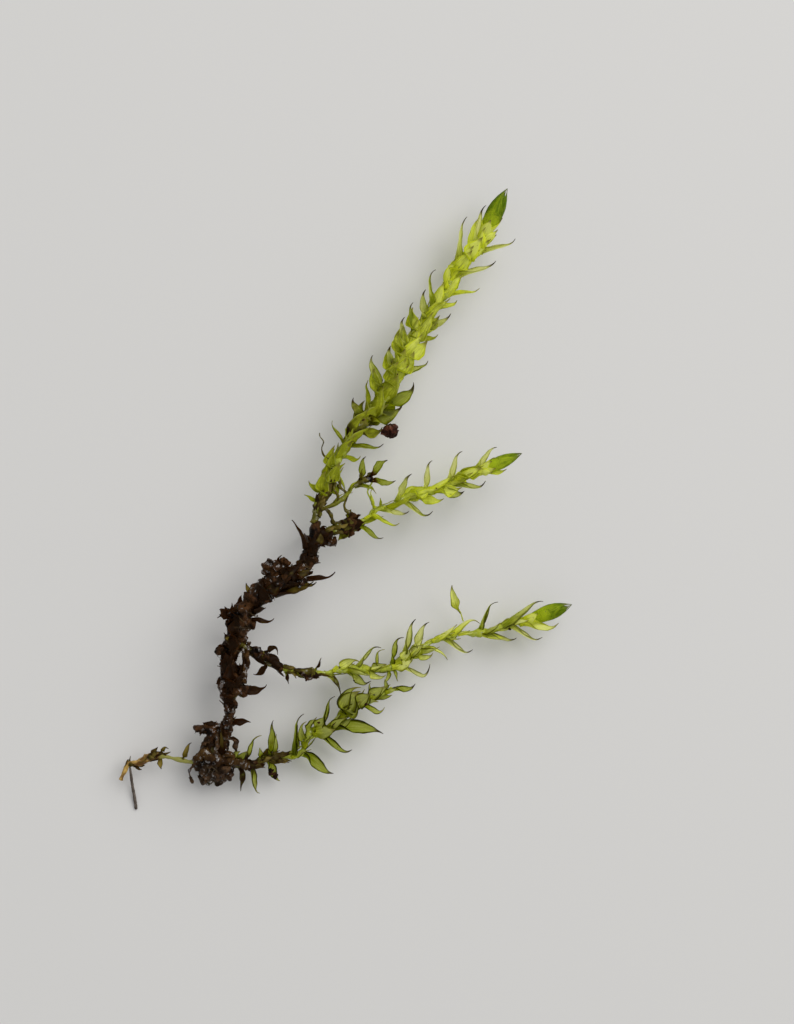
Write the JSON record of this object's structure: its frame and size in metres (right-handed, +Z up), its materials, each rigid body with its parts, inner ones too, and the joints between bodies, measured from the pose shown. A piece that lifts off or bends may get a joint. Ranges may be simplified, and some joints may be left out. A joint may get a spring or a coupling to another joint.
{
  "type": "moss shoot",
  "caption": "Picked moss shoot lying on its side: an old dark stem with leafy green branches, closed buds, a pale runner and a thin rootlet.",
  "frame": {"origin": "middle of the shoot's outline, on the level that it lies on", "axes": "+X to the right across the sheet, +Y up the sheet along the main shoot, +Z up away from the sheet"},
  "size_m": [0.0102, 0.0137, 0.0014],
  "materials": {
    "old_stem": "wet",
    "shoot": "satin",
    "young_leaf": "satin",
    "bud": "satin",
    "runner": "satin",
    "rootlet": "matte",
    "grain": "rough"
  },
  "bodies": {
    "root": {"main_shoot": "shoot", "old_stem": "old_stem", "upper_branch": "shoot", "middle_branch": "shoot", "lower_branch": "shoot", "side_branchlet": "old_stem", "runner": "runner", "rootlet": "rootlet", "base_clump": "old_stem", "soil_grain": "grain", "main_bud": "bud", "upper_bud": "bud", "middle_bud": "bud", "spindle_leaf": "young_leaf", "main_leaf_01": "young_leaf", "main_leaf_02": "young_leaf", "main_leaf_03": "young_leaf", "main_leaf_04": "young_leaf", "main_leaf_05": "young_leaf", "main_leaf_06": "young_leaf", "main_leaf_07": "young_leaf", "main_leaf_08": "young_leaf", "main_leaf_09": "young_leaf", "main_leaf_10": "young_leaf", "main_leaf_11": "young_leaf", "main_leaf_12": "young_leaf", "main_leaf_13": "young_leaf", "main_leaf_14": "young_leaf", "main_leaf_15": "young_leaf", "main_leaf_16": "young_leaf", "branchlet_leaf_01": "young_leaf", "branchlet_leaf_02": "young_leaf", "branchlet_leaf_03": "young_leaf", "upper_leaf_01": "young_leaf", "upper_leaf_02": "young_leaf", "upper_leaf_03": "young_leaf", "upper_leaf_04": "young_leaf", "upper_leaf_05": "young_leaf", "upper_leaf_06": "young_leaf", "upper_leaf_07": "young_leaf", "upper_leaf_08": "young_leaf", "upper_leaf_09": "young_leaf", "middle_leaf_01": "young_leaf", "middle_leaf_02": "young_leaf", "middle_leaf_03": "young_leaf", "middle_leaf_04": "young_leaf", "middle_leaf_05": "young_leaf", "middle_leaf_06": "young_leaf", "middle_leaf_07": "young_leaf", "middle_leaf_08": "young_leaf", "middle_leaf_09": "young_leaf", "middle_leaf_10": "young_leaf", "middle_leaf_11": "young_leaf", "lower_leaf_01": "young_leaf", "lower_leaf_02": "young_leaf", "lower_leaf_03": "young_leaf", "lower_leaf_04": "young_leaf", "lower_leaf_05": "young_leaf", "lower_leaf_06": "young_leaf", "lower_leaf_07": "young_leaf"}
  },
  "joints": []
}
